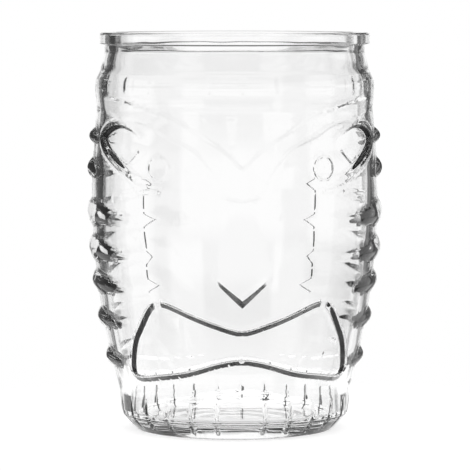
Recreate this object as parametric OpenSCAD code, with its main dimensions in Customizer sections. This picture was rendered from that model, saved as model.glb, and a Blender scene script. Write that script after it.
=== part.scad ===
// Clear glass tumbler with a tiki face moulded into its barrel.
// The tumbler stands on the XY plane with its axis on Z, and the face looks along -Y.
// The real object is one piece of glass. Each node is one moulded region of that glass, and
// the regions meet face to face.

/* [Body] */
// Height from the table to the top of the rim
height = 120; // [105:1:144]
// Diameter at the belly, without the side ribs
belly_d = 86.4; // [76:0.2:104]
// Height of the belly above the base band
belly_h = 58.9; // [45:0.1:70]
// Diameter at the bottom of the barrel, where the base band begins
waist_d = 69.7; // [58:0.1:74]
// Thickness of the barrel's wall
wall = 3.2; // [2.6:0.1:4.4]

/* [Base] */
// Height of the fluted base band
band_h = 12.4; // [10:0.1:16]
// How far the base band stands out from the waist
band_proud = 0.6; // [0.3:0.1:1.2]
// How far inside the waist the ring that the tumbler stands on has its outer edge
foot_in = 5.45; // [3:0.05:8]
// Width of the flat ring that the tumbler stands on
foot_w = 2.4; // [1.5:0.1:4]
// Height of the rounded heel below the base band
heel_h = 4.6; // [3.5:0.1:6]
// Depth of the hollow under the base
punt_h = 1.8; // [1:0.1:3]
// Thickness of the glass between the hollow and the drink
floor_t = 3.2; // [2.4:0.1:6]
// Radius of the fillet between the floor and the wall, inside
floor_fillet = 1.6; // [0.8:0.1:4]
// Number of flutes on each side of the front and back blocks
flutes_a_side = 13; // [7:1:15]
// Angle from the middle of the face to the first flute
front_block = 11.8; // [8:0.1:14]
// Width of a flute at its lower end
flute_w = 1.7; // [1:0.1:2.4]
// Depth of a flute
flute_depth = 0.7; // [0.3:0.1:1]

/* [Top] */
// How far the rim bead stands out from the neck
rim_proud = 1.55; // [1:0.05:3]
// Height of the rim bead
rim_h = 3.6; // [3:0.1:6]
// Radius on the rim bead's edges
rim_round = 0.9; // [0.6:0.1:1.3]
// How far inside the top of the barrel the neck ends, just under the rim bead
neck_in = 2.2; // [1:0.1:3.4]
// Thickness of the glass at the neck
neck_wall = 3.2; // [2.2:0.1:4]
// Height of the neck, between the headband and the rim bead
neck_h = 7.9; // [5:0.1:10]
// Height of the headband
headband_h = 9.7; // [7:0.1:12]
// How far the headband stands out from the barrel
headband_proud = 0.7; // [0.3:0.1:1.2]
// Number of headband grooves on each side of the middle one, over the face
grooves_a_side = 6; // [2:1:6]
// Angle between two headband grooves
groove_spacing = 13.3; // [10:0.1:14]
// Width of a headband groove
groove_w = 0.9; // [0.6:0.1:1.8]
// Depth of a headband groove
groove_depth = 0.4; // [0.2:0.1:0.8]

/* [Face] */
// How far the brows stand out from the barrel
brow_lift = 0.5; // [0.3:0.1:1.4]
// How far the eyes stand out from the barrel
eye_lift = 1; // [0.5:0.1:1.6]
// Radius of a pupil ring
pupil_r = 3.6; // [2.6:0.1:4]
// Width of a pupil ring
pupil_w = 1.1; // [0.6:0.1:1.6]
// How far a pupil ring stands out from its eye
pupil_lift = 0.5; // [0.3:0.1:1]
// How far the nose stands out at its tip
nose_lift = 3; // [1.5:0.1:4]
// Radius of the nose across its tip
nose_r = 12; // [10:0.1:14]
// Width of the raised line round the mouth
lip_w = 1.6; // [0.9:0.1:2]
// How far the line round the mouth stands out
lip_lift = 1.1; // [0.5:0.1:1.4]
// How far the teeth stand out
tooth_lift = 0.5; // [0.3:0.1:1]
// Gap between teeth, and between the teeth and the line round the mouth
tooth_gap = 0.8; // [0.5:0.1:1.2]
// Height of the chin above the base band
chin_h = 4.8; // [3:0.1:6]

/* [Side ribs] */
// How far the ribs stand out from the barrel
rib_lift = 1.6; // [0.8:0.1:2.4]
// Angle from the middle of the face to the back ends of the ribs
rib_back_angle = 141; // [125:1:150]
// Length over which a rib narrows to its point
rib_taper = 9; // [5:0.5:14]

/* [Hidden] */
$fn = 256;

GLASS = [0.86, 0.91, 0.93];
RELIEF = [0.78, 0.86, 0.9];

// Heights up the body, from the table and from the rim
rim_z = height - rim_h;
neck_z = rim_z - neck_h;
barrel_top = neck_z - headband_h;
barrel_h = barrel_top - band_h;
belly_z = band_h + belly_h;
floor_z = punt_h + floor_t;
// The fillet over the floor stays below the barrel
fillet_r = min(floor_fillet, band_h - floor_z);

// Radii
belly_r = belly_d / 2;
waist_r = waist_d / 2;
foot_r = waist_r - foot_in;
core_r = waist_r - wall;

// The barrel's side is one arc, from the waist up through the belly
belly_drop = belly_r - waist_r;
side_arc_r = (belly_drop * belly_drop + belly_h * belly_h) / (2 * belly_drop);
barrel_steps = 24;

// The neck, the mouth and the rim follow the top of the barrel
neck_r = barrel_r(barrel_top) - neck_in;
rim_r = neck_r + rim_proud;
mouth_r = neck_r - neck_wall;

// The face is drawn on a barrel of this height and stretches to the real one
drawn_h = 86.4;
stretch = barrel_h / drawn_h;

// Beyond this everything is clear of the glass
far = belly_d;
// Points along the rim's and the heel's rounds
round_steps = 6;

// Each rib: height above the base band, half its height, and the angle of its point
ribs = [[9.7, 2.9, 70], [21.8, 2.7, 64], [32.7, 2.6, 57], [42.8, 3.3, 57], [53.7, 3.6, 53],
        [67, 3, 78], [76.7, 2.1, 78]];

// Outlines on the right half: angle from the middle of the face, height above the base band
brow = [[0, 68.5], [5, 71.9], [10, 74.9], [20, 79.4], [30, 83.4], [40, 85.2], [50, 86], [60, 86],
        [57, 82.2], [41, 80.7], [32, 77.6], [20, 73.7], [12, 67.6], [7, 60.3], [0, 60.3]];
eye = [[72, 75.8], [63, 78.5], [56, 79.4], [46, 78], [36, 75], [29, 71.5], [27.5, 67.5], [29, 63.5],
       [34, 61.2], [40, 62.8], [49, 65.8], [57, 69.4], [62, 72.5]];
mouth = [[0, 20], [10, 21.8], [20, 24.4], [30, 27.3], [36, 27.9], [41, 26.4], [47, 20.9], [51, 17.9],
         [54, 13.9], [56, 10.6], [57, 6.4], [50, 5.3], [40, 6.1], [25, 7.1], [10, 9.9], [0, 11.5]];
pupil_at = [34.5, 68.2];
nose_top = 60.3;
nose_corner = 36.1;
nose_bottom = 27.3;
bite_h = 14;
tooth_angles = [13, 26.5, 40];
chin_half_angle = 32;

// Radius of the barrel's outside at a height above the table
function barrel_r(z) = belly_r - side_arc_r + sqrt(side_arc_r * side_arc_r - (z - belly_z) * (z - belly_z));

// Height above the table of a height in the drawing
function drawn_z(h) = band_h + h * stretch;

// A drawn point seen from the front: width and height
function front(p) = [barrel_r(drawn_z(p[1])) * sin(p[0]), drawn_z(p[1])];

// Points of an arc round a centre
function arc(x, y, r, from, to) =
    [for (i = [0:round_steps])
        let (a = from + (to - from) * i / round_steps) [x + r * cos(a), y + r * sin(a)]];

// Heights that the barrel's side is drawn through
barrel_heights = [for (i = [0:barrel_steps]) band_h + barrel_h * i / barrel_steps];

// Inside radius: parallel to the barrel, then in a straight line to the neck
function inside_r(z) =
    let (shoulder_r = barrel_r(barrel_top) - wall)
        z < barrel_top ? barrel_r(z) - wall :
        shoulder_r + (mouth_r - shoulder_r) * (z - barrel_top) / (rim_z - barrel_top);

// The barrel as if it were solid, grown by a lift
module solid_barrel(lift = 0) {
    rotate_extrude()
        polygon(concat(
            [[0, band_h]],
            [for (z = barrel_heights) [barrel_r(z) + lift, z]],
            [[0, barrel_top]]));
}

// What a front outline cuts from the layer between two lifts above the barrel
module on_front(low, high) {
    difference() {
        intersection() {
            solid_barrel(high);
            rotate([90, 0, 0])
                linear_extrude(far)
                    children();
        }
        solid_barrel(low);
    }
}

module rim_bead() {
    out = rim_r - rim_round;
    in = mouth_r + rim_round;
    color(GLASS)
        rotate_extrude()
            polygon(concat(
                [[mouth_r, rim_z]],
                arc(out, rim_z + rim_round, rim_round, -90, 0),
                arc(out, height - rim_round, rim_round, 0, 90),
                arc(in, height - rim_round, rim_round, 90, 180)));
}

module neck() {
    color(GLASS)
        rotate_extrude()
            polygon([
                [inside_r(neck_z), neck_z], [barrel_r(barrel_top) - headband_proud, neck_z],
                [neck_r + headband_proud, neck_z + neck_h / 3], [neck_r, rim_z], [mouth_r, rim_z]]);
}

module headband() {
    band_r = barrel_r(barrel_top) + headband_proud;
    bevel_z = neck_z - headband_h / 3;
    color(GLASS)
        difference() {
            rotate_extrude()
                polygon([
                    [inside_r(barrel_top), barrel_top], [barrel_r(barrel_top), barrel_top],
                    [band_r, barrel_top + headband_proud], [band_r, bevel_z],
                    [barrel_r(barrel_top) - headband_proud, neck_z], [inside_r(neck_z), neck_z]]);
            for (i = [-grooves_a_side:grooves_a_side])
                rotate([0, 0, groove_spacing * i - 90])
                    translate([band_r - groove_depth, -groove_w / 2, barrel_top + headband_h / 3])
                        cube([far, groove_w, headband_h / 2]);
        }
}

module barrel_wall() {
    color(GLASS)
        rotate_extrude()
            polygon(concat(
                [for (z = barrel_heights) [barrel_r(z), z]],
                [for (i = [barrel_steps:-1:0]) [inside_r(barrel_heights[i]), barrel_heights[i]]]));
}

// The whole base as if it had no flutes and no hollows
module solid_base() {
    heel_r = waist_r - band_proud;
    heel = [for (i = [0:round_steps])
        let (a = 90 * i / round_steps)
            [foot_r + (heel_r - foot_r) * sin(a), heel_h * (1 - cos(a))]];
    rotate_extrude()
        polygon(concat(
            [[0, 0]],
            heel,
            [[heel_r + band_proud / 2, heel_h + band_proud / 2], [waist_r + band_proud, band_h * 0.7],
             [waist_r + band_proud, band_h * 0.85], [waist_r, band_h], [0, band_h]]));
}

module base_core() {
    punt_r = foot_r - foot_w;
    fillet = arc(core_r - fillet_r, floor_z + fillet_r, fillet_r, 0, -90);
    color(GLASS)
        difference() {
            intersection() {
                solid_base();
                rotate_extrude()
                    polygon(concat([[0, 0], [core_r, 0]], fillet, [[0, floor_z]]));
            }
            rotate_extrude()
                polygon([
                    [0, 0], [punt_r, 0], [punt_r - punt_h, punt_h * 0.8], [punt_r / 3, punt_h],
                    [0, punt_h]]);
        }
}

// The flutes widen downwards and run out over the heel. The front and back blocks have none.
module base_band() {
    spacing = (180 - front_block) / (flutes_a_side - 0.5);
    color(GLASS)
        difference() {
            solid_base();
            cylinder(r = core_r, h = height);
            for (i = [0:flutes_a_side - 1], side = [-1, 1])
                rotate([0, 0, side * (front_block + spacing * i) - 90])
                    translate([waist_r - flute_depth, 0, 0])
                        rotate([90, 0, 90])
                            linear_extrude(far)
                                polygon([
                                    [-flute_w / 2, heel_h / 2], [flute_w / 2, heel_h / 2],
                                    [0, band_h - band_proud]]);
        }
}

module chin() {
    side_w = waist_r * sin(chin_half_angle);
    color(RELIEF)
        on_front(0, band_proud)
            polygon([[-side_w, band_h], [side_w, band_h], [0, band_h + chin_h]]);
}

module brow_right() {
    color(RELIEF)
        on_front(0, brow_lift)
            polygon([for (p = brow) front(p)]);
}

module brow_left() {
    mirror([1, 0, 0])
        brow_right();
}

module eye_right() {
    color(RELIEF)
        on_front(0, eye_lift)
            polygon([for (p = eye) front(p)]);
}

module eye_left() {
    mirror([1, 0, 0])
        eye_right();
}

module pupil_right() {
    z = drawn_z(pupil_at[1]);
    color(RELIEF)
        difference() {
            rotate([0, 0, pupil_at[0]])
                translate([0, 0, z])
                    rotate([90, 0, 0])
                        difference() {
                            cylinder(r = pupil_r, h = barrel_r(z) + eye_lift + pupil_lift);
                            cylinder(r = pupil_r - pupil_w, h = far);
                        }
            solid_barrel(eye_lift);
        }
}

module pupil_left() {
    mirror([1, 0, 0])
        pupil_right();
}

// A slender cone stands inside the front of the barrel, and what comes out of it is the nose.
module nose() {
    low = drawn_z(nose_bottom);
    top = drawn_z(nose_top);
    axis_y = barrel_r(low) + nose_lift - nose_r;
    corner = [nose_r, drawn_z(nose_corner)];
    color(RELIEF)
        difference() {
            translate([0, -axis_y, low])
                cylinder(r1 = nose_r, r2 = barrel_r(top) - axis_y + nose_lift / 10, h = top - low);
            solid_barrel();
            rotate([90, 0, 0])
                linear_extrude(far)
                    polygon([[0, low], corner, [far, corner[1]], [far, 0], [-far, 0], [-far, corner[1]],
                             [-corner[0], corner[1]]]);
        }
}

module mouth_shape() {
    right = [for (p = mouth) front(p)];
    polygon(concat(right, [for (i = [len(right) - 2:-1:1]) [-right[i][0], right[i][1]]]));
}

module mouth_line() {
    color(RELIEF)
        on_front(0, lip_lift)
            difference() {
                offset(delta = lip_w / 2)
                    mouth_shape();
                offset(delta = -lip_w / 2)
                    mouth_shape();
            }
}

module teeth() {
    bite_z = drawn_z(bite_h);
    color(RELIEF)
        on_front(0, tooth_lift)
            difference() {
                offset(delta = -lip_w / 2 - tooth_gap)
                    mouth_shape();
                translate([-far, bite_z - tooth_gap / 2])
                    square([2 * far, tooth_gap]);
                for (a = tooth_angles, side = [-1, 1])
                    translate([side * barrel_r(bite_z) * sin(a) - tooth_gap / 2, 0])
                        square([tooth_gap, height]);
            }
}

// One rib: a low rounded ridge round the side, pointed at the front and blunt at the back
module rib(h, half_h, front_angle) {
    z = drawn_z(h);
    r = barrel_r(z);
    back = -(r + rib_lift) * cos(rib_back_angle);
    tip = -(r + rib_lift) * cos(front_angle);
    ridge = [for (i = [0:2 * round_steps])
        let (a = 180 * i / (2 * round_steps)) [r - rib_lift + 2 * rib_lift * sin(a), z - half_h * cos(a)]];
    intersection() {
        rotate_extrude()
            polygon(ridge);
        rotate([90, 0, 90])
            linear_extrude(far)
                polygon([
                    [tip, z], [tip + rib_taper, z - half_h], [back - half_h / 2, z - half_h],
                    [back, z - half_h / 2], [back, z + half_h / 2], [back - half_h / 2, z + half_h],
                    [tip + rib_taper, z + half_h]]);
    }
}

module side_ribs_right() {
    color(RELIEF)
        difference() {
            for (spec = ribs)
                rib(spec[0], spec[1], spec[2]);
            solid_barrel();
        }
}

module side_ribs_left() {
    mirror([1, 0, 0])
        side_ribs_right();
}

rim_bead();
neck();
headband();
barrel_wall();
base_band();
base_core();
chin();
brow_left();
brow_right();
eye_left();
eye_right();
pupil_left();
pupil_right();
nose();
mouth_line();
teeth();
side_ribs_left();
side_ribs_right();
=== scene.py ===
import math

import bmesh
import bpy
import numpy as np
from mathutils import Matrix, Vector


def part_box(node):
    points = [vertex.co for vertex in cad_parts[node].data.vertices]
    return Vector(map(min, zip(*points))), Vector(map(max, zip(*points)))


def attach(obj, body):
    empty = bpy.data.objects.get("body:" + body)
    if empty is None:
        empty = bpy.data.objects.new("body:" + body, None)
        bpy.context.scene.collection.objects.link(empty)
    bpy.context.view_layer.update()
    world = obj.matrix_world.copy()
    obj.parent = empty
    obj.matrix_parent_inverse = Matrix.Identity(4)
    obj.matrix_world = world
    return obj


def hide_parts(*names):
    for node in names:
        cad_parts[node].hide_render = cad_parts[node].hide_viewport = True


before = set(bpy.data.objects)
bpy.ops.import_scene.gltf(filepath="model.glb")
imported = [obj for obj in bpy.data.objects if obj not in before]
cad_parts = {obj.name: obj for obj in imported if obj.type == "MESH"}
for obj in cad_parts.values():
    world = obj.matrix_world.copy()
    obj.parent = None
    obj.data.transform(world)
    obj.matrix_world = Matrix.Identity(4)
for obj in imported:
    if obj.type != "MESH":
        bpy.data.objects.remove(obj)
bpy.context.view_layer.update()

# Clear glass tumbler with a tiki face. The whole tumbler is one closed glass mesh: a profile
# turned round the axis, pushed in and out by the relief that the mould leaves on its outside.
# Lengths here are in millimetres until the mesh is made. Angles are in degrees from the middle
# of the face, which looks along -Y, and grow towards +X.

MM = 0.001


def node_box(name):
    low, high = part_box(name)
    return np.array(low) / MM, np.array(high) / MM


# Driving sizes from the frame
BARREL_LOW, BARREL_HIGH = node_box("barrel_wall")
CORE_HIGH = node_box("base_core")[1]
HEADBAND_HIGH = node_box("headband")[1]
RIM_LOW, RIM_HIGH = node_box("rim_bead")

HEIGHT = RIM_HIGH[2]
RIM_Z = RIM_LOW[2]
RIM_R = RIM_HIGH[0]
NECK_Z = HEADBAND_HIGH[2]
BARREL_TOP = BARREL_HIGH[2]
BARREL_BOTTOM = BARREL_LOW[2]
BELLY_R = BARREL_HIGH[1]
HEADBAND_R = HEADBAND_HIGH[1]

# Sizes of the glass that the boxes don't give
WALL = 3.2
WAIST_R = CORE_HIGH[0] + WALL
BELLY_Z = BARREL_BOTTOM + 58.9
NECK_R = 39.2
FLOOR_Z = 5.0
FLOOR_FILLET = 1.6

# Foot: the ring that the tumbler stands on, the hollow inside it, and the bevelled heel, whose top
# edge lies inside the waist and has a fine groove
FOOT_R = 29.4
FOOT_W = 2.4
FOOT_FLAT_END = 0.2
PUNT_H = 1.8
HEEL_H = 4.6
HEEL_R = WAIST_R - 1.0
HEEL_BOW = 1.1
HEEL_GROOVE_IN = 0.15
HEEL_GROOVE_H = 0.48

# Base band: height, and how far it stands out from the waist. Above it the barrel's arc begins
BAND_PROFILE = [[HEEL_H, -1.0], [HEEL_H + 0.5, -0.62], [7.0, -0.25], [9.0, -0.06], [10.6, 0.04],
                [BARREL_BOTTOM + 0.2, 0.22]]
ARC_BOTTOM = BARREL_BOTTOM + 2.6
ARC_TOP = BARREL_TOP - 1.6

# Headband and neck: height and radius
COLLAR_PROFILE = [[BARREL_TOP + 3.2, HEADBAND_R], [NECK_Z - 3.4, HEADBAND_R],
                  [NECK_Z - 1.8, HEADBAND_R - 0.6], [NECK_Z, 40.6], [NECK_Z + 2.6, 39.95],
                  [NECK_Z + 5.6, NECK_R], [RIM_Z, NECK_R]]

# Rim bead: the rounds on its top and lower edges, how far its underside slopes, and the narrow
# strip beside each round, which keeps the shading of the flat parts flat. The last two are the
# round where it meets the neck, and the strip below that
RIM_ROUND = 0.9
BEAD_ROUND = 0.4
BEAD_SLOPE = 0.04
BEAD_STRIP = 0.06
NECK_ROUND = 0.08
NECK_STRIP = 0.2

# The inside is straight up to this much below the barrel, and parallel to the outside this much
# further up
STRAIGHT_BELOW = 2.5
PARALLEL_AFTER = 6.0


def smooth_step(x):
    x = np.clip(x, 0.0, 1.0)
    return x * x * (3.0 - 2.0 * x)


def rising(x, start, width):
    """0 up to start, 1 from start + width on, and smooth between them."""
    return smooth_step((x - start) / width)


def falling(x, end, width):
    """1 up to end - width, 0 from end on, and smooth between them."""
    return smooth_step((end - x) / width)


def bump(distance, half_width):
    """1 on the middle line, and 0 beyond half_width, with level ends."""
    return smooth_step(1.0 - np.abs(distance) / half_width)


def dome(distance, half_width):
    """1 on the middle line, and 0 beyond half_width, in a parabola."""
    return np.clip(1.0 - (distance / half_width) ** 2, 0.0, 1.0)


def curve_through(points, steps=6, closed=False):
    """A smooth line through the points."""
    p = np.array(points, float)
    if closed:
        p = np.vstack([p[-1], p, p[0], p[1]])
    else:
        p = np.vstack([2 * p[0] - p[1], p, 2 * p[-1] - p[-2]])
    out = []
    for a, b, c, d in zip(p[:-3], p[1:-2], p[2:-1], p[3:]):
        for t in np.arange(steps) / steps:
            out.append(0.5 * (2 * b + (c - a) * t + (2 * a - 5 * b + 4 * c - d) * t ** 2
                              + (3 * b - a - 3 * c + d) * t ** 3))
    if not closed:
        out.append(p[-2])
    return np.array(out)


# ---------------------------------------------------------------- the turned profile

def barrel_r(z):
    """The barrel's side is one arc through the belly."""
    drop = BELLY_R - WAIST_R
    arc = (drop ** 2 + (BELLY_Z - BARREL_BOTTOM) ** 2) / (2 * drop)
    return BELLY_R - arc + np.sqrt(arc ** 2 - (z - BELLY_Z) ** 2)


def outside_profile():
    """Heights and radii from the top of the heel to the rim bead, before any relief."""
    band = [[z, WAIST_R + proud] for z, proud in BAND_PROFILE]
    band = curve_through(band + [[ARC_BOTTOM, barrel_r(ARC_BOTTOM)]])[:-1].tolist()
    barrel = [[z, float(barrel_r(z))] for z in np.linspace(ARC_BOTTOM, ARC_TOP, 60)]
    return np.array(band + barrel + COLLAR_PROFILE).T


OUTSIDE_Z, OUTSIDE_R = outside_profile()


def outside_r(z):
    return np.interp(z, OUTSIDE_Z, OUTSIDE_R)


def inside_r(z):
    """Straight behind the fluted band, and parallel to the outside above it."""
    share = rising(z - BARREL_BOTTOM, -STRAIGHT_BELOW, PARALLEL_AFTER)
    parallel = np.maximum(WAIST_R, outside_r(np.minimum(z, RIM_Z)))
    return share * parallel + (1.0 - share) * WAIST_R - WALL


def arc_points(centre, radius, start, end, count):
    angles = np.radians(np.linspace(start, end, count))
    return np.stack([centre[0] + radius * np.cos(angles), centre[1] + radius * np.sin(angles)], 1)


def underside_rows():
    """From near the middle of the hollow underside out to the inner edge of the standing ring."""
    ring_in = FOOT_R - FOOT_W
    r = np.array([0.15, 0.3, 0.45, 0.6, 0.72, 0.82, 0.9, 0.95, 0.98]) * ring_in
    z = PUNT_H * (1 - (r / ring_in) ** 4)
    return np.stack([r, z], 1)


def outer_rows(spacing):
    """From the standing ring up the outside to the bottom of the rim bead, and round the bead."""
    ring = [[FOOT_R - FOOT_W, 0.0], [FOOT_R - FOOT_W / 2, 0.0], [FOOT_R - FOOT_FLAT_END, 0.0]]
    share = np.array([0.05, 0.1, 0.25, 0.4, 0.55, 0.7, 0.85, 0.94, 0.98, 1.0])
    heel = np.stack([FOOT_R + (HEEL_R - FOOT_R) * share, HEEL_H * share ** HEEL_BOW], 1)
    groove_top = HEEL_H + HEEL_GROOVE_H
    groove = [[HEEL_R - HEEL_GROOVE_IN, HEEL_H + 0.22], [float(outside_r(groove_top)), groove_top]]
    z = np.arange(HEEL_H + 0.9 * spacing, RIM_Z - spacing / 2, spacing)
    side = np.stack([outside_r(z), z], 1)
    corner_r, corner_z = RIM_R - BEAD_ROUND, RIM_Z + BEAD_SLOPE
    under_bead = [[NECK_R, RIM_Z - NECK_STRIP], [NECK_R, RIM_Z - NECK_ROUND],
                  [NECK_R + NECK_ROUND, RIM_Z], [corner_r - 0.1, RIM_Z + BEAD_SLOPE / 2],
                  [corner_r, corner_z]]
    bead = np.vstack([
        under_bead,
        arc_points((corner_r, corner_z + BEAD_ROUND), BEAD_ROUND, -70, 0, 5),
        [[RIM_R, corner_z + BEAD_ROUND + BEAD_STRIP], [RIM_R, HEIGHT - RIM_ROUND - BEAD_STRIP]],
        arc_points((RIM_R - RIM_ROUND, HEIGHT - RIM_ROUND), RIM_ROUND, 0, 90, 8),
    ])
    return np.vstack([ring, heel, groove, side, bead])


def inner_rows(spacing):
    """From the top of the rim down the inside, and over the floor to near its middle."""
    mouth_r = NECK_R - WALL
    rim = arc_points((mouth_r + RIM_ROUND, HEIGHT - RIM_ROUND), RIM_ROUND, 90, 180, 8)
    z = np.arange(HEIGHT - RIM_ROUND - spacing, FLOOR_Z + FLOOR_FILLET, -spacing)
    strip = [[mouth_r, HEIGHT - RIM_ROUND - BEAD_STRIP]]
    side = np.vstack([strip, np.stack([inside_r(z), z], 1)])
    fillet_top = FLOOR_Z + FLOOR_FILLET
    floor_r = float(inside_r(np.array(fillet_top))) - FLOOR_FILLET
    corner = arc_points((floor_r, fillet_top), FLOOR_FILLET, 0, -90, 9)
    r = floor_r * np.array([0.9, 0.75, 0.6, 0.45, 0.3, 0.15])
    floor = np.stack([r, np.full_like(r, FLOOR_Z)], 1)
    return np.vstack([rim, side, corner, floor])


# ---------------------------------------------------------------- the relief

class Surface:
    """Places on the outside: angle, height, height above the base band, and distance round."""

    def __init__(self, angle, z):
        self.angle = angle
        self.z = z
        self.h = z - BARREL_BOTTOM
        self.round = np.radians(angle) * outside_r(z)


def folded(surface):
    """The same places folded onto the right half."""
    return Surface(np.abs(surface.angle), surface.z)


def drawn(points):
    """Points drawn as angle and height above the base band, as distance round and height."""
    p = np.array(points, float)
    z = p[:, 1] + BARREL_BOTTOM
    return np.stack([np.radians(p[:, 0]) * outside_r(z), z], 1)


def distance_to(surface, line, closed=False, reach=12.0):
    """Distance to a line, worked out only where it is within reach."""
    best = np.full(surface.z.shape, reach)
    low, high = line.min(0) - reach, line.max(0) + reach
    near = ((surface.round > low[0]) & (surface.round < high[0])
            & (surface.z > low[1]) & (surface.z < high[1]))
    x, z, found = surface.round[near], surface.z[near], best[near]
    ends = np.roll(line, -1, axis=0) if closed else line[1:]
    for (ax, az), (bx, bz) in zip(line, ends):
        dx, dz = bx - ax, bz - az
        length_squared = max(dx * dx + dz * dz, 1e-12)
        t = np.clip(((x - ax) * dx + (z - az) * dz) / length_squared, 0.0, 1.0)
        found = np.minimum(found, np.hypot(x - ax - t * dx, z - az - t * dz))
    best[near] = found
    return best


def distance_to_point(surface, point):
    x, z = drawn([point])[0]
    return np.hypot(surface.round - x, surface.z - z)


def depth_inside(surface, outline):
    """Distance to a closed outline: positive inside it, negative outside."""
    inside = np.zeros(surface.z.shape, bool)
    for (ax, az), (bx, bz) in zip(outline, np.roll(outline, -1, axis=0)):
        crosses = (az > surface.z) != (bz > surface.z)
        slope = (bx - ax) / (bz - az) if bz != az else 0.0
        inside ^= crosses & (surface.round < ax + (surface.z - az) * slope)
    return np.where(inside, 1.0, -1.0) * distance_to(surface, outline, closed=True)


def mirrored(points):
    """A right-half outline and its mirror image, as one closed outline."""
    p = np.array(points, float)
    left = p[::-1] * [-1, 1]
    keep = slice(1, -1) if p[0, 0] == 0 and p[-1, 0] == 0 else slice(None)
    return np.vstack([p, left[keep]])


def closed_curve(points):
    return curve_through(drawn(points), 4, closed=True)


# Lines are drawn on the right half: angle from the middle of the face, height above the base band

# Brows: outline, lift, width of the edge, and the angle where they end and over which they fade
BROW_TOP = [[0, 68.5], [5, 71.9], [10, 74.9], [20, 79.4], [30, 83.4], [40, 85.2], [50, 86.9],
            [60, 88.0], [80, 89.0]]
BROW_BOTTOM = [[80, 85], [66, 84], [57, 82.2], [41, 80.7], [32, 77.6], [26, 75.8], [20, 73.7],
               [15, 70], [12, 67.6], [9, 63.4], [7, 60.3], [4, 59.4], [0, 59]]
BROW_LIFT = 0.3
BROW_EDGE = 1.2
BROW_END = 74
BROW_FADE = 14


def brow_relief(s):
    depth = depth_inside(s, closed_curve(mirrored(BROW_TOP + BROW_BOTTOM)))
    return (BROW_LIFT * smooth_step(0.5 + depth / BROW_EDGE)
            * falling(folded(s).angle, BROW_END, BROW_FADE))


# Nose: it grows wider and prouder from its top down, and is cut off by a V. Underside: how far up
# the cut reaches at the tip, and how much less at the corners
NOSE_TOP = 60.3
NOSE_BOTTOM = 27.5
NOSE_CORNER = (12, 36.1)
NOSE_FULL_ABOVE = 2.5
NOSE_LIFT = 2.58
NOSE_SLOPE = 1.6
NOSE_HALF_W = 10.6
NOSE_FLARE = 0.75
NOSE_TOP_SHARE = 0.12
UNDERSIDE_H = 2.5
UNDERSIDE_LESS = 1.2


def nose_relief(s):
    half = folded(s)
    share = np.clip((NOSE_TOP - half.h) / (NOSE_TOP - NOSE_BOTTOM - NOSE_FULL_ABOVE), 0.0, 1.0)
    half_width = NOSE_HALF_W * (NOSE_TOP_SHARE + (1.0 - NOSE_TOP_SHARE) * share ** NOSE_FLARE)
    height = NOSE_LIFT * share ** NOSE_SLOPE * dome(half.round, half_width)
    off_middle = half.round / (np.radians(NOSE_CORNER[0]) * BELLY_R)
    edge_h = NOSE_BOTTOM + (NOSE_CORNER[1] - NOSE_BOTTOM) * off_middle
    underside = UNDERSIDE_H - UNDERSIDE_LESS * np.minimum(off_middle, 1.0)
    return height * np.clip((half.h - edge_h) / underside, 0.0, 1.0)


# Eyes: a raised rim round a socket with a low ball in it. All three fade in from EYE_START, over
# EYE_FADE. The pupil is a thin ring
EYE = [[71.5, 75.8], [70, 77.8], [66, 79.6], [60, 80.8], [54, 80.8], [46, 79], [36, 75],
       [29, 71.5], [27, 67.5], [29, 63.5], [34, 61.2], [40, 62.6], [46, 64.8], [51, 66.4],
       [56, 68.2], [62, 70.6], [67.5, 73]]
EYE_START = 40
EYE_FADE = 20
SOCKET_DEPTH = 1.15
SOCKET_EDGE_IN = 0.3
SOCKET_EDGE_W = 1.3
BALL_LIFT = 0.5
BALL_IN = 2.0
BALL_SLOPE_W = 9.0
EYE_RIM_LIFT = 0.3
EYE_RIM_OUT = 0.9
EYE_RIM_HALF = 1.3
PUPIL = (34.5, 68.2)
PUPIL_R = 3.5
PUPIL_LIFT = 0.2
PUPIL_HALF = 0.6

# Raised lines by each eye: points, lift and half width
LID = [[34, 61.2], [40, 62.0], [46, 63.2], [51, 65.6]]
FOLD = [[56, 70.6], [52, 69.6], [49, 70.6], [45, 72.9]]
CHEEK = [[46, 61.2], [50, 60.4], [55, 59.8], [59, 59]]
EYE_LINES = [(LID, 0.2, 1.2), (FOLD, 0.25, 0.8), (CHEEK, 0.2, 1.4)]


def eye_relief(s):
    half = folded(s)
    depth = depth_inside(half, closed_curve(EYE))
    socket = -SOCKET_DEPTH * rising(depth, SOCKET_EDGE_IN, SOCKET_EDGE_W)
    ball = BALL_LIFT * np.clip((depth - BALL_IN) / BALL_SLOPE_W, 0.0, 1.0)
    rim = EYE_RIM_LIFT * bump(depth + EYE_RIM_OUT, EYE_RIM_HALF)
    pupil = PUPIL_LIFT * bump(distance_to_point(half, PUPIL) - PUPIL_R, PUPIL_HALF)
    lines = sum(lift * bump(distance_to(half, curve_through(drawn(points))), half_width)
                for points, lift, half_width in EYE_LINES)
    return rising(half.angle, EYE_START, EYE_FADE) * (socket + ball + rim) + pupil + lines


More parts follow.
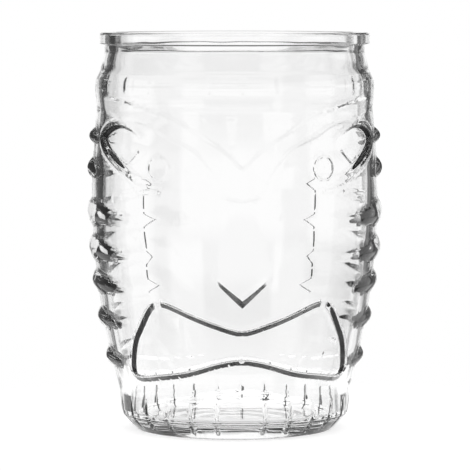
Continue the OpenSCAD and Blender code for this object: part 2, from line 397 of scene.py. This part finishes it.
# Mouth: a raised line along a bow tie, with a gap at each upper corner, round sunken glass. The
# line's crest leans upwards, so that its lower flank is the wide one. MOUTH_MIDDLE divides the
# upper line from the lower, which stands out a little more. The lean turns over within LEAN_TURN
MOUTH = [[0, 20], [10, 21.8], [20, 24.4], [30, 27.3], [35, 28.2], [38.5, 27.8], [42, 25.6],
         [47, 20.9], [51, 17.4], [54, 13.6], [56.4, 9.6], [57, 7.2], [55.5, 5.6], [50, 5.2],
         [40, 6.0], [25, 7.5], [10, 10.4], [0, 11.4]]
MOUTH_MIDDLE = [[0, 15.7], [25, 14], [50, 9], [57, 7]]
LIP_HALF = 0.9
LIP_LEAN = 0.74
LEAN_TURN = 2.0
LIP_LIFT = 1.25
LOWER_LIP_MORE = 0.25
MOUTH_GAP = (37.0, 28.4)
MOUTH_GAP_R = 1.1
MOUTH_GAP_EDGE = 1.0
MOUTH_SINK = 0.3
MOUTH_SINK_W = 1.6

# Teeth: low blocks between a bite line, which drops towards the corners, and upright gaps
TEETH_LIFT = 0.1
TEETH_R = 38.0
TOOTH_GAPS = (13.5, 26.5, 40.0)
TOOTH_GAP_HALF = 0.5
BITE_H = 14.0
BITE_DROP = 1.6
BITE_DROP_START = 12
BITE_DROP_W = 26
BITE_START = 11
BITE_FADE = 3
TEETH_IN = 1.2
TEETH_EDGE = 1.0


def teeth_relief(half, depth):
    bite = BITE_H - BITE_DROP * rising(half.angle, BITE_DROP_START, BITE_DROP_W)
    gaps = bump(half.h - bite, TOOTH_GAP_HALF) * rising(half.angle, BITE_START, BITE_FADE)
    for angle in TOOTH_GAPS:
        off = np.radians(half.angle - angle) * TEETH_R
        gaps = np.maximum(gaps, bump(off, TOOTH_GAP_HALF))
    return rising(depth, TEETH_IN, TEETH_EDGE) * TEETH_LIFT * (1.0 - gaps)


def mouth_relief(s):
    half = folded(s)
    depth = depth_inside(s, closed_curve(mirrored(MOUTH)))
    below = (np.interp(half.angle, *np.array(MOUTH_MIDDLE).T) - half.h) / LEAN_TURN
    lean = LIP_LEAN * np.clip(below, -1.0, 1.0)
    flank = np.where(depth > lean, LIP_HALF - lean, LIP_HALF + lean)
    lift = LIP_LIFT + LOWER_LIP_MORE * np.clip(below, 0.0, 1.0)
    line = lift * np.clip(1.0 - np.abs(depth - lean) / flank, 0.0, 1.0)
    line = line * rising(distance_to_point(half, MOUTH_GAP), MOUTH_GAP_R, MOUTH_GAP_EDGE)
    inside = -MOUTH_SINK * rising(depth, lean, MOUTH_SINK_W)
    return line + inside + teeth_relief(half, depth)


# Chin: its upper edge, lift, and how it fades out downwards, upwards and sideways
CHIN = [[0, 4.85], [10, 3.0], [20, 1.5], [30, 0.3]]
CHIN_LIFT = 0.07
CHIN_BOTTOM = -3.0
CHIN_BOTTOM_FADE = 3.5
CHIN_EDGE = 2.0
CHIN_END = 36
CHIN_END_FADE = 10


def chin_relief(s):
    half = folded(s)
    edge = np.interp(half.angle, *np.array(CHIN).T)
    return (CHIN_LIFT * rising(half.h, CHIN_BOTTOM, CHIN_BOTTOM_FADE)
            * falling(half.h, edge, CHIN_EDGE) * falling(half.angle, CHIN_END, CHIN_END_FADE))


# Side ribs: height above the base band, half their height, and the angle of their points. From the
# point they grow to full size at RIB_FULL, and they thin out again to a low step at RIB_BACK. Their
# points sink by RIB_DROP
RIBS = [[9.7, 3.0, 66], [21.8, 3.1, 60], [32.7, 3.6, 54], [42.8, 4.1, 50], [53.7, 4.3, 48],
        [67.0, 3.2, 78], [76.7, 2.4, 78]]
RIB_LIFT = 1.58
RIB_GROWTH = 1.1
RIB_WIDENING = 0.7
RIB_DROP = 1.2
RIB_FULL = 86.0
RIB_BACK = 139.0
RIB_BACK_FADE = 34
RIB_LAST_BEFORE = 6
RIB_STEP_FADE = 1.5
RIB_LEAST = 0.12


def rib_relief(s):
    half = folded(s)
    thinning = falling(half.angle, RIB_BACK - RIB_LAST_BEFORE, RIB_BACK_FADE)
    back = RIB_LEAST + (1.0 - RIB_LEAST) * thinning
    back = back * falling(half.angle, RIB_BACK, RIB_STEP_FADE)
    total = np.zeros_like(half.h)
    for middle, half_height, front in RIBS:
        taper = np.clip((half.angle - front) / (RIB_FULL - front), 0.0, 1.0)
        width = half_height * (RIB_LEAST + (1.0 - RIB_LEAST) * taper ** RIB_WIDENING)
        line = middle - RIB_DROP * (1.0 - taper)
        rib = RIB_LIFT * dome(half.h - line, width) * taper ** RIB_GROWTH * back
        total = np.maximum(total, rib)
    return total


# Side panels: how far they stand out, where they begin, and the points of their back edge, which
# lie between the ribs: reach in degrees, and shift up in millimetres
SIDE_LIFT = 0.45
SIDE_START = 95
SIDE_START_W = 30
SIDE_EDGE_W = 0.8
SIDE_LOW = 20
SIDE_LOW_W = 6
SIDE_HIGH = 66
SIDE_HIGH_W = 4
SIDE_POINTS = [4.0, 6.5, 3.5, 6.0, 4.5, 7.0]
SIDE_POINT_SHIFTS = [0.0, 0.9, -0.8, 0.4, -0.6, 0.8]
SIDE_POINT_HALF = 2.0


def side_panel_relief(s):
    """The ribbed sides stand a little proud of the plain back."""
    half = folded(s)
    middles = np.array([rib[0] for rib in RIBS])
    gaps = (middles[1:] + middles[:-1]) / 2 + SIDE_POINT_SHIFTS
    points = sum(reach * np.clip(1 - np.abs(half.h - gap) / SIDE_POINT_HALF, 0, 1)
                 for reach, gap in zip(SIDE_POINTS, gaps))
    edge = falling(half.angle, RIB_BACK + points, SIDE_EDGE_W)
    front = rising(half.angle, SIDE_START, SIDE_START_W)
    ends = rising(half.h, SIDE_LOW, SIDE_LOW_W) * falling(half.h, SIDE_HIGH, SIDE_HIGH_W)
    return SIDE_LIFT * edge * front * ends


def off_nearest(angle, spacing):
    """Angle from the nearest of the places that lie spacing apart, one of them at 0."""
    return (angle + spacing / 2) % spacing - spacing / 2


# Upright grooves in the headband, only over the face
GROOVE_SPACING = 360.0 / 27
GROOVES_A_SIDE = 6
GROOVE_DEPTH = 0.1
GROOVE_HALF = 0.45
GROOVE_BOTTOM = BARREL_TOP + 3.4
GROOVE_BOTTOM_FADE = 0.8
GROOVE_TOP = NECK_Z - 1.0
GROOVE_TOP_FADE = 1.2


def groove_relief(s):
    across = bump(np.radians(off_nearest(s.angle, GROOVE_SPACING)) * HEADBAND_R, GROOVE_HALF)
    window = (rising(s.z, GROOVE_BOTTOM, GROOVE_BOTTOM_FADE)
              * falling(s.z, GROOVE_TOP, GROOVE_TOP_FADE))
    front = np.abs(s.angle) < GROOVE_SPACING * (GROOVES_A_SIDE + 0.5)
    return -GROOVE_DEPTH * across * window * front


# Flutes round the base band. They grow deeper and wider down to FLUTE_BOTTOM, and fade out on the
# heel. The first lies at the edge of a plain block in the middle of the face
FLUTES_A_SIDE = 13
FLUTE_BLOCK = 11.8
FLUTE_SPACING = (180.0 - FLUTE_BLOCK) / (FLUTES_A_SIDE - 0.5)
FLUTE_TOP = BARREL_BOTTOM - 1.5
FLUTE_TOP_FADE = 1.0
FLUTE_BOTTOM = HEEL_H + 0.4
FLUTE_END = 1.0
FLUTE_END_FADE = 2.0
FLUTE_DEPTH = 0.6
FLUTE_GROWTH = 0.8
FLUTE_HALF_TOP = 0.3
FLUTE_HALF_MORE = 0.7


def flute_relief(s):
    half = folded(s)
    off = off_nearest(half.angle - FLUTE_BLOCK, FLUTE_SPACING)
    off = np.where(half.angle < FLUTE_BLOCK - FLUTE_SPACING / 2, FLUTE_SPACING, off)
    share = np.clip((FLUTE_TOP - s.z) / (FLUTE_TOP - FLUTE_BOTTOM), 0.0, 1.0)
    across = bump(np.radians(off) * WAIST_R, FLUTE_HALF_TOP + FLUTE_HALF_MORE * share)
    window = falling(s.z, FLUTE_TOP, FLUTE_TOP_FADE) * rising(s.z, FLUTE_END, FLUTE_END_FADE)
    return -FLUTE_DEPTH * share ** FLUTE_GROWTH * across * window


RELIEFS = [brow_relief, nose_relief, eye_relief, mouth_relief, chin_relief, rib_relief,
           side_panel_relief, groove_relief, flute_relief]
RELIEF_BOTTOM = 0.3
RELIEF_TOP = RIM_Z - 0.2


def relief(angle, z):
    """How far the outside stands out from the turned profile."""
    s = Surface(angle, z)
    on_side = (z > RELIEF_BOTTOM) & (z < RELIEF_TOP)
    return np.where(on_side, sum(part(s) for part in RELIEFS), 0.0)


# ---------------------------------------------------------------- the glass mesh

# Distance between rows before splitting. Rows are twice as far apart on the inside
ROW_SPACING = 1.0

# Angle between columns before splitting, at angles from the middle of the face
COLUMN_PLACES = [0, 76, 84, 145, 158, 180]
COLUMN_SPACING = [1.25, 1.25, 1.5, 1.5, 2.2, 2.2]

# The bend that a face may have in each round of splitting. Behind BACK_START it counts for less
SPLIT_TOLERANCES = (0.055, 0.045, 0.045)
BACK_START = RIB_FULL + 12
BACK_BEND_SHARE = 0.6

# The shading follows the relief between two heights. Its slope is taken over NORMAL_STEP
NORMALS_BOTTOM = HEEL_H + 0.8
NORMALS_TOP = RIM_Z - 0.4
NORMAL_STEP = 0.06

# Points this close together are merged
MERGE_DISTANCE = 0.002


def column_angles():
    """An even number of columns from -180 to 180 degrees, closest together across the face."""
    half = [0.0]
    while half[-1] < 180.0:
        half.append(half[-1] + np.interp(half[-1], COLUMN_PLACES, COLUMN_SPACING))
    half = np.array(half) * 180.0 / half[-1]
    return np.concatenate([-half[:0:-1], half])


def radius_at(places, outer):
    """Outside radius with its relief, and height, at places given as angle and row."""
    z, r = (np.interp(places[..., 1], np.arange(len(outer)), outer[:, i]) for i in (1, 0))
    return r + relief(places[..., 0], z), z


def split_where_bent(bm, outer, tolerance):
    """Cuts each face in four where the relief bends by more than the tolerance across it."""
    faces = [f for f in bm.faces if len(f.verts) == 4]
    corners = np.array([[v.co[:2] for v in f.verts] for f in faces])
    at_corners = radius_at(corners, outer)[0]
    middles = (corners + np.roll(corners, -1, axis=1)) / 2
    straight = (at_corners + np.roll(at_corners, -1, axis=1)) / 2
    bend = np.abs(radius_at(middles, outer)[0] - straight).max(1)
    in_middle = radius_at(corners.mean(1), outer)[0]
    bend = np.maximum(bend, np.abs(in_middle - at_corners.mean(1)))
    bend = np.where(np.abs(corners[:, 0, 0]) > BACK_START, bend * BACK_BEND_SHARE, bend)
    edges = {e for f, b in zip(faces, bend) if b > tolerance for e in f.edges}
    bmesh.ops.subdivide_edges(bm, edges=list(edges), cuts=1, use_grid_fill=True)


def outer_side(bm, outer, angles):
    """The outside as a flat sheet of angle and row, split where it is bent, then wrapped round.
    Gives the rings of points along its bottom and its top."""
    sheet = [[bm.verts.new((angle, row, 0.0)) for angle in angles] for row in range(len(outer))]
    for low, high in zip(sheet[:-1], sheet[1:]):
        for i in range(len(angles) - 1):
            bm.faces.new((low[i], low[i + 1], high[i + 1], high[i]))
    for tolerance in SPLIT_TOLERANCES:
        split_where_bent(bm, outer, tolerance)
    places = np.array([v.co[:2] for v in bm.verts])
    r, z = radius_at(places, outer)
    turn = np.radians(places[:, 0])
    first, last = 0.01, len(outer) - 1.01
    bottom = sorted((v for v in bm.verts if v.co.y < first), key=lambda v: v.co.x)
    top = sorted((v for v in bm.verts if v.co.y > last), key=lambda v: v.co.x)
    for vert, co in zip(bm.verts, np.stack([r * np.sin(turn), -r * np.cos(turn), z], 1)):
        vert.co = co
    return bottom[:-1], top[:-1]


def join_rings(bm, low, high):
    """Faces from a lower ring to the next. One of them may have twice the columns of the other."""
    count = min(len(low), len(high))
    for i in range(count):
        j = (i + 1) % count
        if len(low) == len(high):
            bm.faces.new((low[i], low[j], high[j], high[i]))
        elif len(low) > len(high):
            a, b, c = low[2 * i], low[2 * i + 1], low[2 * j]
            for face in ((a, b, high[i]), (b, high[j], high[i]), (b, c, high[j])):
                bm.faces.new(face)
        else:
            a, b, c = high[2 * i], high[2 * i + 1], high[2 * j]
            for face in ((low[i], b, a), (low[i], low[j], b), (low[j], c, b)):
                bm.faces.new(face)


def close_with_rings(bm, ring, rows, angles, middle_z, upwards):
    """Turned rings from an open edge to the axis. The rows run away from the edge."""
    turn = np.radians(angles)
    for r, z in rows:
        following = [bm.verts.new((r * math.sin(t), -r * math.cos(t), z)) for t in turn]
        if upwards:
            join_rings(bm, ring, following)
        else:
            join_rings(bm, following, ring)
        ring = following
    middle = bm.verts.new((0.0, 0.0, middle_z))
    for a, b in zip(ring, ring[1:] + ring[:1]):
        bm.faces.new((a, b, middle) if upwards else (b, a, middle))


def side_normals(mesh):
    """The mesh's own normals, with the true ones of the relief on the outside of the wall."""
    places = np.array([v.co for v in mesh.vertices]) / MM
    normals = np.array([v.normal for v in mesh.vertices])
    r, z = np.hypot(places[:, 0], places[:, 1]), places[:, 2]
    wall = (z > NORMALS_BOTTOM) & (z < NORMALS_TOP)
    wall[wall] = r[wall] > outside_r(z[wall]) - 0.8 * WALL
    r, z = r[wall], z[wall]
    turn = np.arctan2(places[wall, 0], -places[wall, 1])

    def radius(turn, z):
        return outside_r(z) + relief(np.degrees(turn), z)

    step = NORMAL_STEP / r
    round_slope = (radius(turn + step, z) - radius(turn - step, z)) / (2 * NORMAL_STEP)
    up_slope = (radius(turn, z + NORMAL_STEP) - radius(turn, z - NORMAL_STEP)) / (2 * NORMAL_STEP)
    found = np.stack([np.sin(turn) - round_slope * np.cos(turn),
                      -np.cos(turn) - round_slope * np.sin(turn), -up_slope], 1)
    normals[wall] = found / np.linalg.norm(found, axis=1, keepdims=True)
    return normals


def glass_mesh():
    angles = column_angles()
    inner_angles = angles[:-1:2]
    bm = bmesh.new()
    foot, rim = outer_side(bm, outer_rows(ROW_SPACING), angles)
    close_with_rings(bm, foot, underside_rows()[::-1], inner_angles, PUNT_H, upwards=False)
    close_with_rings(bm, rim, inner_rows(2 * ROW_SPACING), inner_angles, FLOOR_Z, upwards=True)
    bmesh.ops.remove_doubles(bm, verts=bm.verts, dist=MERGE_DISTANCE)
    bmesh.ops.scale(bm, vec=(MM, MM, MM), verts=bm.verts)
    mesh = bpy.data.meshes.new("glass_body")
    bm.to_mesh(mesh)
    bm.free()
    mesh.shade_smooth()
    mesh.normals_split_custom_set_from_vertices(side_normals(mesh))
    return mesh


# ---------------------------------------------------------------- materials

def node_tree(owner):
    owner.use_nodes = True
    return owner.node_tree


def add_node(tree, kind, inputs=None, **settings):
    """A new node with its settings and the values of its inputs."""
    node = tree.nodes.new(kind)
    for name, value in settings.items():
        setattr(node, name, value)
    set_inputs(node, inputs or {})
    return node


def set_inputs(node, inputs):
    for name, value in inputs.items():
        node.inputs[name].default_value = value


def glass_material():
    """Clear glass with slight unevenness in its polish and a faint ripple."""
    material = bpy.data.materials.new("clear_glass")
    tree = node_tree(material)
    shader = tree.nodes["Principled BSDF"]
    set_inputs(shader, {"Base Color": (1.0, 1.0, 1.0, 1.0), "IOR": 1.5, "Transmission Weight": 1.0})
    place = add_node(tree, "ShaderNodeTexCoord").outputs["Object"]

    polish = add_node(tree, "ShaderNodeTexNoise", {"Scale": 90.0, "Detail": 3.0})
    spread = add_node(tree, "ShaderNodeMapRange", {"To Min": 0.0, "To Max": 0.02})
    tree.links.new(place, polish.inputs["Vector"])
    tree.links.new(polish.outputs["Fac"], spread.inputs["Value"])
    tree.links.new(spread.outputs["Result"], shader.inputs["Roughness"])

    wave = add_node(tree, "ShaderNodeTexNoise", {"Scale": 70.0, "Detail": 1.0})
    ripple = add_node(tree, "ShaderNodeBump", {"Strength": 0.25, "Distance": 0.0004})
    tree.links.new(place, wave.inputs["Vector"])
    tree.links.new(wave.outputs["Fac"], ripple.inputs["Height"])
    tree.links.new(ripple.outputs["Normal"], shader.inputs["Normal"])
    return material


def floor_material(fade_from, fade_to):
    """Pale matt floor with a glow of its own, which fades out with distance."""
    material = bpy.data.materials.new("pale_floor")
    tree = node_tree(material)
    shader = tree.nodes["Principled BSDF"]
    set_inputs(shader, {"Base Color": (0.62, 0.62, 0.62, 1.0), "Roughness": 0.9,
                        "Specular IOR Level": 0.1, "Emission Color": (1.0, 1.0, 1.0, 1.0),
                        "Emission Strength": 0.6})
    place = add_node(tree, "ShaderNodeTexCoord")
    length = add_node(tree, "ShaderNodeVectorMath", operation="LENGTH")
    fade = add_node(tree, "ShaderNodeMapRange", {"From Min": fade_to, "From Max": fade_from},
                    interpolation_type="SMOOTHSTEP")
    tree.links.new(place.outputs["Object"], length.inputs[0])
    tree.links.new(length.outputs["Value"], fade.inputs["Value"])
    tree.links.new(fade.outputs["Result"], shader.inputs["Alpha"])
    return material


# ---------------------------------------------------------------- studio

# The white panels: direction from +X, half width, bottom and top, all in degrees
PANELS = [(88.5, 20, -45, 11.5), (178.5, 16, -22, 11), (-45, 93, -9, 11),
          (135, 15, -34, -9), (-45, 15, -34, -9), (45, 15, -34, -9), (-135, 15, -34, -9)]
PANEL_SOFTNESS = 4.0
PANEL_LEVEL = 0.98
GAP_LEVEL = 0.02
MIRRORED_GAP_LEVEL = 0.3

# Elevation above which the room is white, and softness of all level edges, in degrees
CEILING = 54.0
ROOM_SOFTNESS = 5.0


def studio_world():
    """An even white room for the camera and for matt surfaces. Rays that have come through the
    glass see white panels with dark gaps between them, which draw the dark lines of the glass.
    Mirrored rays see the same gaps, much paler."""
    world = bpy.data.worlds.new("studio")
    bpy.context.scene.world = world
    tree = node_tree(world)
    links = tree.links
    place = add_node(tree, "ShaderNodeTexCoord")
    split = add_node(tree, "ShaderNodeSeparateXYZ")
    level = add_node(tree, "ShaderNodeVectorMath", {1: (1.0, 1.0, 0.0)}, operation="MULTIPLY")
    compass = add_node(tree, "ShaderNodeVectorMath", operation="NORMALIZE")
    links.new(place.outputs["Generated"], split.inputs[0])
    links.new(place.outputs["Generated"], level.inputs[0])
    links.new(level.outputs[0], compass.inputs[0])

    def math_node(operation, *values):
        node = add_node(tree, "ShaderNodeMath", operation=operation)
        for socket, value in zip(node.inputs, values):
            if isinstance(value, (int, float)):
                socket.default_value = value
            else:
                links.new(value, socket)
        return node.outputs[0]

    def ramp(value, start, end):
        node = add_node(tree, "ShaderNodeMapRange", {"From Min": start, "From Max": end},
                        interpolation_type="SMOOTHSTEP")
        links.new(value, node.inputs["Value"])
        return node.outputs["Result"]

    def soft_edge(angle, softness):
        """The two ends of a soft edge, in radians."""
        return math.radians(angle - softness / 2), math.radians(angle + softness / 2)

    def above(elevation):
        """0 below an elevation in degrees, and 1 above it, over a soft edge."""
        low, high = soft_edge(elevation, ROOM_SOFTNESS)
        return ramp(split.outputs["Z"], math.sin(low), math.sin(high))

    def panel(middle, half_width, bottom, top):
        """1 in a part of the room: compass direction in degrees from +X, and elevations."""
        turn = math.radians(middle)
        dot = add_node(tree, "ShaderNodeVectorMath", {1: (math.cos(turn), math.sin(turn), 0.0)},
                       operation="DOT_PRODUCT")
        links.new(compass.outputs[0], dot.inputs[0])
        inner, outer = soft_edge(half_width, PANEL_SOFTNESS)
        across = ramp(dot.outputs["Value"], math.cos(outer), math.cos(inner))
        window = math_node("MULTIPLY", above(bottom), math_node("SUBTRACT", 1.0, above(top)))
        return math_node("MULTIPLY", across, window)

    lit = above(CEILING)
    for spec in PANELS:
        lit = math_node("MAXIMUM", lit, panel(*spec))
    path = add_node(tree, "ShaderNodeLightPath")

    def for_rays(kind, otherwise, gap_level, panel_level):
        """The panels' light for one kind of ray, and another light for the rest."""
        panels = math_node("MULTIPLY_ADD", lit, panel_level - gap_level, gap_level)
        change = math_node("SUBTRACT", panels, otherwise)
        return math_node("MULTIPLY_ADD", change, path.outputs[kind], otherwise)

    # A ray that leaves the glass counts as glossy too, so transmission comes last
    mirrored_or_even = for_rays("Is Glossy Ray", 1.0, MIRRORED_GAP_LEVEL, 1.0)
    strength = for_rays("Is Transmission Ray", mirrored_or_even, GAP_LEVEL, PANEL_LEVEL)
    links.new(strength, tree.nodes["Background"].inputs["Strength"])
    set_inputs(tree.nodes["Background"], {"Color": (1.0, 1.0, 1.0, 1.0)})


def add_object(name, data):
    made = bpy.data.objects.new(name, data)
    bpy.context.collection.objects.link(made)
    return made


def aim(made, towards):
    """Turns a lamp or a camera so that it looks in a direction."""
    made.rotation_euler = towards.to_track_quat("-Z", "Y").to_euler()


# The large soft lamp above the tumbler, in metres and watts
LAMP_HEIGHT = 1.1
LAMP_SIZE = 0.9
LAMP_POWER = 2.0


def overhead_light():
    data = bpy.data.lights.new("overhead", "AREA")
    data.shape = "SQUARE"
    data.size = LAMP_SIZE
    data.energy = LAMP_POWER
    lamp = add_object("overhead", data)
    lamp.location = (0.0, 0.0, LAMP_HEIGHT)
    aim(lamp, -lamp.location)


# The floor, in metres: it lies just under the tumbler, and fades out from GROUND_FADE_R
GROUND_R = 0.13
GROUND_FADE_R = 0.055
GROUND_Z = -0.00002
GROUND_COLUMNS = 96


def floor_disc():
    turns = np.linspace(0, 2 * math.pi, GROUND_COLUMNS, endpoint=False)
    verts = [(0.0, 0.0, GROUND_Z)]
    verts += [(GROUND_R * math.cos(t), GROUND_R * math.sin(t), GROUND_Z) for t in turns]
    faces = [(0, 1 + i, 1 + (i + 1) % GROUND_COLUMNS) for i in range(GROUND_COLUMNS)]
    mesh = bpy.data.meshes.new("floor")
    mesh.from_pydata(verts, [], faces)
    mesh.materials.append(floor_material(GROUND_FADE_R, GROUND_R))
    disc = add_object("floor", mesh)


# The camera: what it looks at and how far away it is in metres, and where it stands in degrees
CAMERA_TARGET = (0, 0, 0.0586)
CAMERA_DISTANCE = 1.0188
CAMERA_ELEVATION = math.radians(4.1)
CAMERA_AZIMUTH = math.radians(-3.1)
CAMERA_LENS = 257.4
CAMERA_SHIFT = 0.00085


def camera():
    """A long lens a metre away, a little above the middle of the tumbler."""
    level = math.cos(CAMERA_ELEVATION)
    away = Vector((level * math.sin(CAMERA_AZIMUTH), -level * math.cos(CAMERA_AZIMUTH),
                   math.sin(CAMERA_ELEVATION)))
    data = bpy.data.cameras.new("camera")
    data.lens = CAMERA_LENS
    data.shift_x = CAMERA_SHIFT
    eye = add_object("camera", data)
    eye.location = Vector(CAMERA_TARGET) + CAMERA_DISTANCE * away
    aim(eye, -away)
    bpy.context.scene.camera = eye


camera()
studio_world()
overhead_light()
floor_disc()

body = add_object("glass_body", glass_mesh())
body.data.materials.append(glass_material())
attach(body, "root")
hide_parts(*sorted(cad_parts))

scene = bpy.context.scene
scene.view_settings.view_transform = "Standard"
scene.cycles.use_denoising = True
scene.cycles.max_bounces = 32
scene.cycles.transmission_bounces = 32
scene.cycles.glossy_bounces = 8
scene.cycles.transparent_max_bounces = 16
